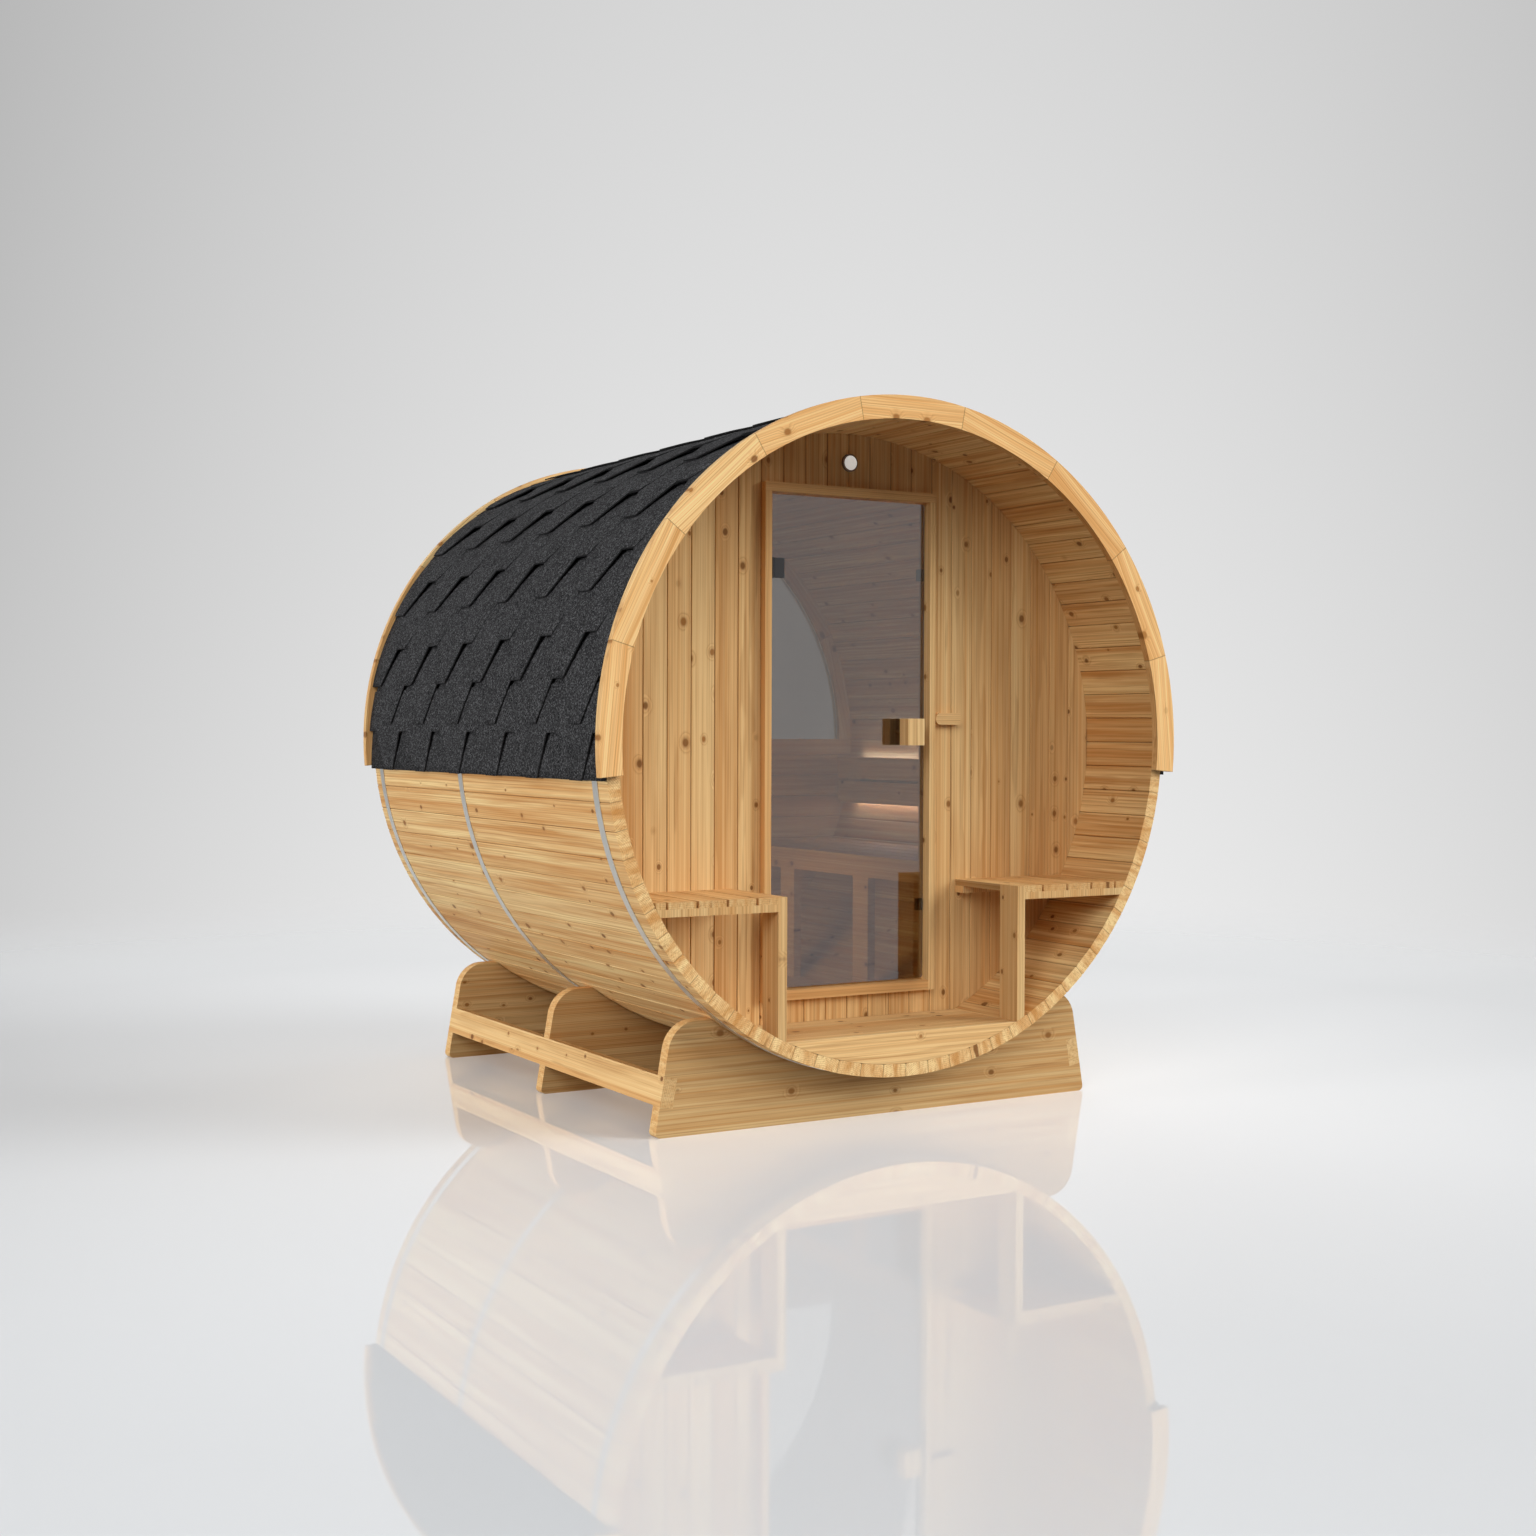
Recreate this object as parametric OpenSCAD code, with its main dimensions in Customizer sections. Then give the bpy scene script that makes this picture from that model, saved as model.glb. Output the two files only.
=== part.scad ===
// Barrel sauna: a round cabin of wooden staves on three cradles, with a glass door in a small front porch.
// Millimetres. +Z is up, the porch faces -Y, and the origin is on the ground under the middle of the barrel.

/* [Barrel] */
// Radius to the outer faces of the staves
barrel_radius = 1090; // [800:1:1400]
// Length of the staves
barrel_length = 2048; // [1700:1:3500]
// Height of the barrel's underside over the ground
ground_clearance = 144; // [110:1:220]
// Thickness of a stave
stave_thickness = 42; // [28:1:58]
// Number of staves in the ring
stave_count = 76; // [44:1:96]
// Depth of the chamfer along each stave's edges
stave_chamfer = 3; // [1:0.5:6]

/* [Steel bands] */
// Width of a tension band
band_width = 36; // [15:1:50]
// Thickness of a tension band
band_thickness = 1.5; // [1:0.1:3]
// Middle of the front band, from the front stave ends
front_band_inset = 85; // [50:1:105]
// Middle of the middle band, behind the middle cradle
middle_band_inset = 125; // [40:1:300]
// Middle of the rear band, from the rear stave ends
rear_band_inset = 73; // [40:1:105]

/* [Roof covering] */
// Thickness of the covering at the lower edge of a course
roof_thickness = 22.5; // [15:0.5:45]
// Height of a course of shingles, measured along the curve
course_exposure = 144; // [100:1:200]
// Height of the lowest course, measured along the curve
eaves_course = 173; // [120:1:230]
// Step from one course down to the next
course_step = 5; // [2:0.5:10]
// How far the covering reaches below the axis, in degrees
roof_end_angle = 5.9; // [3:0.1:10]

/* [Trim arcs] */
// Thickness of a trim arc in front of the stave ends
trim_thickness = 27; // [10:1:35]
// How far the trim stands out past the roof covering
trim_proud = 11.5; // [1:0.5:15]
// Boards in one trim arc
trim_boards = 9; // [5:2:15]
// How far the trim arcs reach below the axis, in degrees
trim_end_angle = 5.3; // [2:0.1:8]

/* [Cradles] */
// Thickness of a cradle board
cradle_thickness = 46; // [30:1:70]
// Height of the shoulders over the barrel's underside
cradle_rise = 217; // [150:1:300]
// Width of a shoulder, from the barrel's bed to the line of the leaning side
cradle_horn_width = 137; // [110:1:200]
// Rounding of the shoulders
cradle_shoulder_radius = 103; // [40:1:125]
// Rounding of the lower corners
cradle_corner_radius = 17; // [5:1:30]
// Lean of the cradle's sides, in degrees
cradle_lean = 9.7; // [4:0.1:14]
// Front face of the front cradle, from the front stave ends
cradle_inset = 132; // [115:1:230]
// Front face of the middle cradle, from the front stave ends
middle_cradle_inset = 1001; // [800:1:1200]
// Height of a cradle rail
rail_height = 94; // [50:1:120]
// Thickness of a cradle rail
rail_thickness = 46; // [25:1:70]
// Height of the rail's lower edge over the ground
rail_lift = 98; // [40:1:120]

/* [Front wall] */
// Depth of the porch in front of the wall
porch_depth = 357; // [290:1:570]
// Thickness of the end walls
wall_thickness = 42; // [32:1:70]
// Wall boards on each side of the door
side_board_count = 8; // [5:1:10]
// Wall boards over the door
header_board_count = 8; // [4:2:10]
// Diameter of the vent's flange
vent_diameter = 60; // [50:1:90]
// Height of the vent's middle over the door frame
vent_height = 86; // [60:1:110]
// Thickness of the vent's flange
vent_flange = 9; // [4:1:14]
// Outer diameter of the vent's sleeve through the wall
vent_sleeve = 42; // [25:1:48]

/* [Door frame] */
// Width of the frame over the jambs
frame_width = 690; // [590:1:790]
// Height of the wall over the frame, up to the barrel's crown inside
header_height = 184; // [140:1:240]
// Height of the frame's lower edge over the floor
frame_lift = 80; // [40:1:120]
// Width of a jamb
jamb_width = 25; // [20:1:45]
// Height of the head
head_height = 31; // [20:1:45]
// Height of the sill
sill_height = 34; // [20:1:50]
// How far the frame stands out of the wall
frame_proud = 28; // [16:1:34]

/* [Door] */
// Thickness of the glass
glass_thickness = 8; // [6:1:12]
// Gap between the glass and its frame
door_gap = 6; // [5:0.5:9]
// Rounding of the glass corners
glass_corner = 12; // [4:1:24]
// Height of a hinge
hinge_height = 66; // [45:1:90]
// Width of a hinge clamp on the glass
hinge_width = 39; // [28:1:58]
// Middle of the upper hinge, from the top of the glass
upper_hinge_inset = 245; // [150:1:400]
// Middle of the lower hinge, from the foot of the glass
lower_hinge_inset = 256; // [150:1:400]
// Height of a handle block
handle_height = 92; // [70:1:140]
// Width of a handle block
handle_width = 69; // [45:1:90]
// Depth of a handle block
handle_depth = 50; // [28:1:70]
// Finger gap behind a handle block
handle_gap = 29; // [22:1:45]
// Middle of the handles, from the closing edge of the glass
handle_inset = 85; // [60:1:140]
// Middle of the handles over the floor
handle_middle_height = 980; // [800:1:1150]

/* [Porch] */
// Height of the floors over the barrel's underside
floor_height = 145; // [115:1:190]
// Thickness of the floor boards
floor_thickness = 28; // [18:1:38]
// Floor boards in the porch
porch_board_count = 3; // [2:1:5]
// Thickness of the floor's front board
fascia_thickness = 20; // [12:1:34]
// Height of the porch seats over the floor
seat_height = 460; // [380:1:540]
// Thickness of a seat board
seat_board_thickness = 22; // [16:1:32]
// Width of a seat board
seat_board_width = 97; // [70:1:130]
// Width of the seat board at the inner edge
seat_edge_board_width = 104; // [70:1:140]
// Gap between seat boards
seat_board_gap = 9; // [4:1:14]
// Distance from the middle to a seat's inner edge
seat_inner = 455; // [370:1:540]
// Thickness of a seat post
post_thickness = 32; // [22:1:50]
// Depth of a seat post
post_depth = 97; // [70:1:140]
// Height of the bearers under the seat boards
bearer_height = 24; // [16:1:45]
// Depth of the bearers under the seat boards
bearer_depth = 46; // [28:1:70]

/* [Cabin] */
// Floor boards in the cabin
cabin_board_count = 14; // [8:1:20]
// Height of the cabin bench over the floor
bench_height = 514; // [420:1:600]
// Distance from the middle to the cabin bench's front edge
bench_inner = 415; // [340:1:490]
// Thickness of the cabin bench boards
bench_board_thickness = 28; // [20:1:36]
// Width of a cabin bench board
bench_board_width = 98; // [70:1:130]
// Height of the bench's front rail
bench_rail_height = 53; // [35:1:80]
// Thickness of the bench's front rail and legs
bench_rail_thickness = 32; // [22:1:50]
// Width of a bench leg
bench_leg_width = 103; // [60:1:140]
// Distance between the middles of the bench legs
bench_leg_spacing = 532; // [400:1:700]
// Height of the backrest's lower edge over the bench
backrest_height = 162; // [110:1:210]
// Width of a backrest board
backrest_board_width = 92; // [70:1:110]
// Gap between the backrest boards
backrest_gap = 9; // [4:1:16]
// Thickness of a backrest board
backrest_thickness = 25; // [18:1:35]
// Distance from the staves to the backrest boards, at their lower edge
backrest_standoff = 63; // [40:1:90]
// Distance from the end walls to the ends of the backrest
backrest_end_gap = 88; // [40:1:200]

/* [Rear wall] */
// Distance from the rear stave ends to the rear wall
rear_inset = 46; // [20:1:90]
// Boards below the rear window
rear_board_count = 11; // [7:1:15]
// Width of the arched window frame
window_frame_width = 60; // [40:1:90]
// Height of the rail under the rear window
window_rail_height = 66; // [45:1:90]
// Boards in the arched window frame
window_frame_boards = 7; // [5:1:11]

/* [Hidden] */

$fn = 96;
full_turn = 360;
quarter_turn = 90;
// Facets of an arc in an outline
arc_facets = 12;
// Overrun of every cut
over = 5;
// Gap between boards that lie side by side
joint_gap = 0.4;
// Gap between a curved face and what it seats on
seat_gap = 0.3;

// Ring of staves: angles in degrees, counted from the bottom of the barrel
stave_pitch = full_turn / stave_count;
barrel_inner = barrel_radius - stave_thickness;
barrel_corner = barrel_radius / cos(stave_pitch / 2);
quarter_staves = round(stave_count / 4);
floor_half_staves = floor(stave_count / 12);

// Heights, each from the piece that carries it
axis_height = ground_clearance + barrel_radius;
floor_top = ground_clearance + floor_height;
floor_bottom = floor_top - floor_thickness;
seat_top = floor_top + seat_height;
bench_top = floor_top + bench_height;
backrest_bottom = bench_top + backrest_height;
frame_bottom = floor_top + frame_lift;
frame_top = axis_height + barrel_inner - header_height;

// Places along the barrel, from front to back
front_y = -barrel_length / 2;
rear_y = barrel_length / 2;
wall_front = front_y + porch_depth;
wall_back = wall_front + wall_thickness;
rear_wall_back = rear_y - rear_inset;
rear_wall_front = rear_wall_back - wall_thickness;
front_cradle_y = front_y + cradle_inset;
middle_cradle_y = front_y + middle_cradle_inset;
rear_cradle_y = rear_y - cradle_inset - cradle_thickness;

// Bands and roof covering
band_inner = barrel_corner + seat_gap;
band_outer = band_inner + band_thickness;
roof_inner = band_outer + seat_gap;
roof_outer = barrel_radius + roof_thickness;
course_pitch = roof_angle(course_exposure);
first_course_angle = roof_angle(eaves_course) - roof_end_angle;
course_count = 1 + round((quarter_turn - first_course_angle) / course_pitch);
course_facets = 4;
trim_outer = roof_outer + trim_proud;
trim_sweep = 2 * (quarter_turn + trim_end_angle) / trim_boards;

// Cradles
cradle_bed = barrel_corner + seat_gap;
lean_slope = tan(cradle_lean);
cradle_shoulder_height = ground_clearance + cradle_rise;
cradle_bed_half = sqrt(pow(cradle_bed, 2) - pow(axis_height - cradle_shoulder_height, 2));
cradle_half_width = cradle_bed_half + cradle_horn_width + cradle_shoulder_height * lean_slope;
rail_from_ground = rail_lift / cos(cradle_lean);

// End walls fit inside the ring
lining = barrel_inner - seat_gap;
frame_half = frame_width / 2;
board_chamfer = stave_chamfer;
side_board_pitch = (lining - frame_half) / side_board_count;
header_board_pitch = frame_width / header_board_count;
frame_front = wall_front - frame_proud;
opening_half = frame_half - jamb_width;
opening_top = frame_top - head_height;
opening_bottom = frame_bottom + sill_height;

// Door, closed: the glass lies in the plane of the wall's face
glass_half = opening_half - door_gap;
glass_bottom = opening_bottom + door_gap;
glass_top = opening_top - door_gap;
glass_back = wall_front + glass_thickness;
hinge_axis_inset = 14;
hinge_axis_lead = 7;
hinge_axis_x = -opening_half + hinge_axis_inset;
hinge_axis_y = wall_front - hinge_axis_lead;
knuckle_radius = 6;
knuckle_gap = 0.5;
knuckle_clearance = 1;
pin_radius = 3;
pin_clearance = 0.1;
plate_thickness = 3;
clamp_thickness = 8;
clamp_start = hinge_axis_x + knuckle_radius + knuckle_clearance;
clamp_end = clamp_start + hinge_width;
bolt_radius = 4;
stem_radius = 10;
hinge_heights = [glass_bottom + lower_hinge_inset, glass_top - upper_hinge_inset];
handle_x = glass_half - handle_inset;
handle_z = floor_top + handle_middle_height;
catch_reach = 23;
catch_height = 41;
catch_depth = 16;
rest_block_size = [105, 23, 41];
rest_block_rise = 46;
rest_block_z = handle_z + rest_block_rise;
rest_block_clearance = 6;
vent_z = frame_top + vent_height;
vent_wall = 2;

// Porch and cabin
porch_board_pitch = (porch_depth - fascia_thickness) / porch_board_count;
floor_board_gap = 3;
seat_bottom = seat_top - seat_board_thickness;
seat_pitch = seat_board_width + seat_board_gap;
seat_second_board = seat_inner + seat_edge_board_width + seat_board_gap;
least_board_width = 25;
seat_board_count = 1 + whole_boards(chord_half(seat_bottom) - seat_second_board, seat_pitch);
cabin_length = rear_wall_front - wall_back;
cabin_middle = (rear_wall_front + wall_back) / 2;
cabin_board_pitch = cabin_length / cabin_board_count;
bench_bottom = bench_top - bench_board_thickness;
bench_pitch = bench_board_width + seat_board_gap;
bench_board_count = whole_boards(chord_half(bench_bottom) - bench_inner, bench_pitch);
bench_end_gap = 5;
bench_leg_places = [cabin_middle - bench_leg_spacing / 2, cabin_middle + bench_leg_spacing / 2];
bench_bearer_places = [wall_back + bearer_depth, bench_leg_places[0], bench_leg_places[1],
                       rear_wall_front - bearer_depth];
backrest_pitch = backrest_board_width + backrest_gap;
backrest_top = backrest_bottom + backrest_pitch + backrest_board_width;
backrest_inner = chord_half(backrest_bottom) - backrest_standoff - backrest_thickness;
backrest_length = cabin_length - 2 * backrest_end_gap;
backrest_bracket_width = 50;
backrest_bracket_margin = 14;
backrest_bracket_shares = [-0.42, 0, 0.42];
backrest_bracket_places = [for (share = backrest_bracket_shares) cabin_middle + share * backrest_length];

// Rear window: a half moon over a rail at the height of the axis
window_radius = lining - window_frame_width;
window_rail_bottom = axis_height - window_rail_height;
rear_board_pitch = (window_rail_bottom - axis_height + lining) / rear_board_count;
window_sweep = 2 * quarter_turn / window_frame_boards;

// Colours as the photo shows them
pine = "#d8a968";
pine_shade = "#c39355";
charcoal = "#3c3d3f";
steel = "#b4b4b2";
smoked = "#6b6460";

function polar(radius, angle) = [radius * cos(angle), radius * sin(angle)];

// Points along an arc from one angle to another
function arc(centre, radius, start, end) =
    [for (t = [0 : arc_facets]) centre + polar(radius, start + (end - start) * t / arc_facets)];

// Half the inside width of the barrel at a height over the ground
function chord_half(height) = sqrt(pow(lining, 2) - pow(axis_height - height, 2));

// Angle about the axis that a length along the roof's curve covers
function roof_angle(length) = length / (2 * PI * roof_outer) * full_turn;

// Angles at which a course of shingles starts and ends
function course_low(k) = k == 0 ? -roof_end_angle : first_course_angle + (k - 1) * course_pitch;
function course_high(k) = k == course_count - 1 ? quarter_turn : course_low(k + 1);

// Boards at one pitch that start within a width and keep at least the least width
function whole_boards(width, pitch) = floor((width - least_board_width) / pitch) + 1;

// Extrudes a profile drawn in X and Z between two places along Y
module along_y(start, end) {
    translate([0, end, 0]) rotate([90, 0, 0]) linear_extrude(height = end - start) children();
}

// Profile seen along the barrel, with its centre on the axis
module at_axis() {
    translate([0, axis_height]) children();
}

// Cylinder along the barrel's axis
module axis_drum(radius, start, end) {
    along_y(start, end) at_axis() circle(r = radius, $fn = 240);
}

// Cuts what reaches outside the inside of the stave ring
module inside_ring(start, end) {
    intersection() {
        children();
        axis_drum(lining, start - over, end + over);
    }
}

// Part of a ring between two angles, with half a joint's gap at each end
module ring_sector(inner, outer, start, sweep) {
    reach = 2 * outer;
    trim = asin(joint_gap / 2 / inner);
    intersection() {
        difference() {
            circle(r = outer, $fn = 240);
            circle(r = inner, $fn = 240);
        }
        polygon([[0, 0], polar(reach, start + trim), polar(reach, start + sweep - trim)]);
    }
}

// One board with chamfered long edges: profile across its width and thickness, from a corner
module board_profile(width, thickness, chamfer) {
    half = width / 2 - joint_gap / 2;
    polygon([
        [-half + chamfer, 0], [half - chamfer, 0], [half, chamfer], [half, thickness - chamfer],
        [half - chamfer, thickness], [-half + chamfer, thickness], [-half, thickness - chamfer],
        [-half, chamfer]
    ]);
}

// Stave number i, counted anticlockwise from the bottom
module stave(i) {
    slope = tan(stave_pitch / 2);
    half = function (radius) radius * slope - joint_gap / 2;
    inner_shoulder = barrel_inner + stave_chamfer;
    outer_shoulder = barrel_radius - stave_chamfer;
    along_y(front_y, rear_y) at_axis() rotate(i * stave_pitch + stave_pitch / 2 - 2 * quarter_turn)
        polygon([
            [-half(barrel_inner) + stave_chamfer, barrel_inner],
            [half(barrel_inner) - stave_chamfer, barrel_inner],
            [half(inner_shoulder), inner_shoulder], [half(outer_shoulder), outer_shoulder],
            [half(barrel_radius) - stave_chamfer, barrel_radius],
            [-half(barrel_radius) + stave_chamfer, barrel_radius],
            [-half(outer_shoulder), outer_shoulder], [-half(inner_shoulder), inner_shoulder]
        ]);
}

module floor_staves() {
    color(pine) for (i = [-floor_half_staves : floor_half_staves - 1]) stave(i);
}

module right_staves() {
    color(pine) for (i = [floor_half_staves : quarter_staves - 1]) stave(i);
}

module left_staves() {
    color(pine) for (i = [stave_count - quarter_staves : stave_count - floor_half_staves - 1]) stave(i);
}

module roof_staves() {
    color(pine_shade) for (i = [quarter_staves : stave_count - quarter_staves - 1]) stave(i);
}

// Tension band round the staves, with its middle at one place along Y
module band(place) {
    color(steel) along_y(place - band_width / 2, place + band_width / 2) at_axis() difference() {
        circle(r = band_outer, $fn = 240);
        circle(r = band_inner, $fn = 240);
    }
}

module front_band() { band(front_y + front_band_inset); }
module middle_band() { band(middle_cradle_y + cradle_thickness + middle_band_inset); }
module rear_band() { band(rear_y - rear_band_inset); }

// Shingle courses of the right side, lapped upwards from the eaves to the ridge
module roof_half() {
    trim = asin(joint_gap / 2 / roof_inner);
    along_y(front_y, rear_y) at_axis() for (k = [0 : course_count - 1]) {
        low = course_low(k) + trim;
        sweep = course_high(k) - trim - low;
        inner = roof_inner / cos(sweep / 2);
        polygon(concat([polar(inner, low)], [for (t = [0 : course_facets])
            polar(roof_outer - course_step * t / course_facets, low + sweep * t / course_facets)],
            [polar(inner, low + sweep)]));
    }
}

module right_roof_shingles() {
    color(charcoal) roof_half();
}

module left_roof_shingles() {
    color(charcoal) mirror([1, 0, 0]) roof_half();
}

// Arc of butt-jointed boards over the ends of the upper staves
module trim_arc(start) {
    color(pine) along_y(start, start + trim_thickness) at_axis() for (k = [0 : trim_boards - 1])
        ring_sector(barrel_inner, trim_outer, k * trim_sweep - trim_end_angle, trim_sweep);
}

module front_trim_arc() { trim_arc(front_y - trim_thickness); }
module rear_trim_arc() { trim_arc(rear_y); }

// A cradle's outline before the barrel's bed is cut: leaning sides, rounded corners and shoulders
module cradle_outline() {
    shoulder_z = cradle_shoulder_height - cradle_shoulder_radius;
    side_x = function (radius, height) cradle_half_width - height * lean_slope - radius / cos(cradle_lean);
    corner = [side_x(cradle_corner_radius, cradle_corner_radius), cradle_corner_radius];
    shoulder = [side_x(cradle_shoulder_radius, shoulder_z), shoulder_z];
    side = concat(arc(corner, cradle_corner_radius, -quarter_turn, cradle_lean),
                  arc(shoulder, cradle_shoulder_radius, cradle_lean, quarter_turn));
    polygon(concat(side, [for (i = [len(side) - 1 : -1 : 0]) [-side[i][0], side[i][1]]]));
}

// Section of the right rail, flush with the cradle's leaning side, grown by a fitting gap
module rail_profile(gap) {
    translate([cradle_half_width, 0]) rotate(cradle_lean)
        translate([-rail_thickness - gap, rail_from_ground - gap])
            square([rail_thickness + 2 * gap, rail_height + 2 * gap]);
}

module cradle(start) {
    color(pine) along_y(start, start + cradle_thickness) difference() {
        cradle_outline();
        at_axis() circle(r = cradle_bed, $fn = 240);
        rail_profile(seat_gap);
        mirror([1, 0]) rail_profile(seat_gap);
    }
}

module front_cradle() { cradle(front_cradle_y); }
module middle_cradle() { cradle(middle_cradle_y); }
module rear_cradle() { cradle(rear_cradle_y); }

module cradle_rail() {
    along_y(front_cradle_y, rear_cradle_y + cradle_thickness) rail_profile(0);
}

module right_cradle_rail() {
    color(pine) cradle_rail();
}

module left_cradle_rail() {
    color(pine) mirror([1, 0, 0]) cradle_rail();
}

// Upright boards of the front wall from one place along X, between two heights
module wall_boards(start, pitch, count, bottom, top) {
    inside_ring(wall_front, wall_back) for (k = [0 : count - 1])
        translate([start + (k + 0.5) * pitch, wall_front, bottom])
            linear_extrude(height = top - bottom) board_profile(pitch, wall_thickness, board_chamfer);
}

module front_wall_right() {
    color(pine) wall_boards(frame_half, side_board_pitch, side_board_count,
                            ground_clearance, axis_height + barrel_radius);
}

module front_wall_left() {
    color(pine) mirror([1, 0, 0]) wall_boards(frame_half, side_board_pitch, side_board_count,
                                              ground_clearance, axis_height + barrel_radius);
}

module front_wall_header() {
    color(pine) difference() {
        wall_boards(-frame_half, header_board_pitch, header_board_count,
                    frame_top, axis_height + barrel_radius);
        vent_disc(vent_sleeve + 2 * seat_gap, wall_front - over, wall_back + over);
    }
}

module front_wall_sill() {
    color(pine) wall_boards(-frame_half, header_board_pitch, header_board_count,
                            ground_clearance, frame_bottom);
}

// One member of the door frame, from the frame's face to the back of the wall
module frame_member(left, right, bottom, top) {
    color(pine) translate([left, frame_front, bottom])
        cube([right - left, wall_back - frame_front, top - bottom]);
}

module door_left_jamb() { frame_member(-frame_half, -opening_half, frame_bottom, opening_top); }
module door_right_jamb() { frame_member(opening_half, frame_half, frame_bottom, opening_top); }
module door_head() { frame_member(-frame_half, frame_half, opening_top, frame_top); }
module door_sill() { frame_member(-opening_half, opening_half, frame_bottom, opening_bottom); }

// Glass door leaf with rounded corners and holes for the hinge bolts and the handle's stem
module door_glass() {
    inset_half = glass_half - glass_corner;
    color(smoked) along_y(wall_front, glass_back) difference() {
        union() {
            translate([-inset_half, glass_bottom]) square([2 * inset_half, glass_top - glass_bottom]);
            translate([-glass_half, glass_bottom + glass_corner])
                square([2 * glass_half, glass_top - glass_bottom - 2 * glass_corner]);
            for (x = [-inset_half, inset_half], z = [glass_bottom + glass_corner, glass_top - glass_corner])
                translate([x, z]) circle(r = glass_corner);
        }
        for (z = hinge_heights) translate([(clamp_start + clamp_end) / 2, z])
            circle(r = bolt_radius + seat_gap);
        translate([handle_x, handle_z]) circle(r = stem_radius + seat_gap);
    }
}

// Two wooden blocks, outside and inside, on one stem through the glass
module door_handles() {
    reach = handle_gap + handle_depth;
    color(pine) {
        for (y = [wall_front - reach, glass_back + handle_gap])
            translate([handle_x - handle_width / 2, y, handle_z - handle_height / 2])
                cube([handle_width, handle_depth, handle_height]);
        along_y(wall_front - handle_gap, glass_back + handle_gap)
            translate([handle_x, handle_z]) circle(r = stem_radius);
    }
}

// Hinge leaf on the glass: the middle knuckle and two plates clamped by a bolt through the glass
module hinge_clamp(middle) {
    third = hinge_height / 3 - knuckle_gap;
    bottom = middle - hinge_height / 2;
    difference() {
        union() {
            translate([hinge_axis_x, hinge_axis_y, middle - third / 2])
                cylinder(r = knuckle_radius, h = third);
            translate([hinge_axis_x, wall_front - clamp_thickness, middle - third / 2])
                cube([clamp_start - hinge_axis_x, clamp_thickness - joint_gap, third]);
            translate([clamp_start, wall_front - clamp_thickness, bottom])
                cube([hinge_width, clamp_thickness, hinge_height]);
            translate([clamp_start, glass_back, bottom]) cube([hinge_width, clamp_thickness, hinge_height]);
            along_y(wall_front - joint_gap, glass_back + joint_gap)
                translate([(clamp_start + clamp_end) / 2, middle]) circle(r = bolt_radius);
        }
        translate([hinge_axis_x, hinge_axis_y, bottom])
            cylinder(r = pin_radius + pin_clearance, h = hinge_height);
    }
}

module door_hinge_clamps() {
    color("#4c4c4e") for (z = hinge_heights) hinge_clamp(z);
}

// Hinge leaf on the jamb: a plate, the two outer knuckles and the pin
module hinge_plate(middle) {
    third = hinge_height / 3;
    bottom = middle - hinge_height / 2;
    plate_x = -opening_half;
    plate_y = hinge_axis_y - knuckle_radius;
    translate([plate_x, plate_y, bottom]) cube([plate_thickness, 2 * knuckle_radius, hinge_height]);
    for (z = [bottom, middle + third / 2]) {
        translate([hinge_axis_x, hinge_axis_y, z]) cylinder(r = knuckle_radius, h = third);
        translate([plate_x, hinge_axis_y - pin_radius, z])
            cube([hinge_axis_x - plate_x, 2 * pin_radius, third]);
    }
    translate([hinge_axis_x, hinge_axis_y, bottom]) cylinder(r = pin_radius, h = hinge_height);
}

module door_hinge_plates() {
    color("#4c4c4e") for (z = hinge_heights) hinge_plate(z);
}

// Small catches on the right jamb that the closed glass rests against
module door_catches() {
    color("#4c4c4e") for (z = hinge_heights)
        translate([opening_half - catch_reach, glass_back + door_gap, z - catch_height / 2])
            cube([catch_reach, catch_depth, catch_height]);
}

// Wooden block on the wall beside the door, with a rounded end towards the frame
module door_rest_block() {
    size = rest_block_size;
    radius = size[2] / 2;
    left = frame_half + rest_block_clearance;
    color(pine) along_y(wall_front - size[1], wall_front) translate([left, rest_block_z]) {
        translate([radius, 0]) circle(r = radius);
        translate([radius, -radius]) square([size[0] - radius, size[2]]);
    }
}

// Disc on the vent's axis between two places along Y
module vent_disc(diameter, start, end) {
    along_y(start, end) translate([0, vent_z]) circle(d = diameter);
}

// Round vent over the door: a flange on the wall and a sleeve through it
module wall_vent() {
    color("white") difference() {
        union() {
            vent_disc(vent_diameter, wall_front - vent_flange, wall_front);
            vent_disc(vent_sleeve, wall_front - vent_flange, wall_back);
        }
        vent_disc(vent_sleeve - 2 * vent_wall, wall_front - vent_flange - over, wall_back + over);
    }
}

// Floor boards across the barrel between two places along Y
module floor_boards(start, pitch, count) {
    inside_ring(start, start + count * pitch) for (k = [0 : count - 1])
        translate([-barrel_radius, start + k * pitch + floor_board_gap / 2, floor_bottom])
            cube([2 * barrel_radius, pitch - floor_board_gap, floor_thickness]);
}

module porch_floor() {
    color(pine) floor_boards(front_y + fascia_thickness, porch_board_pitch, porch_board_count);
}

module cabin_floor() {
    color(pine_shade) floor_boards(wall_back, cabin_board_pitch, cabin_board_count);
}

// Front board that closes the floor down to the staves
module porch_floor_fascia() {
    color(pine) along_y(front_y, front_y + fascia_thickness) intersection() {
        at_axis() circle(r = lining, $fn = 240);
        translate([-barrel_radius, ground_clearance])
            square([2 * barrel_radius, floor_top - ground_clearance]);
    }
}

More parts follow.
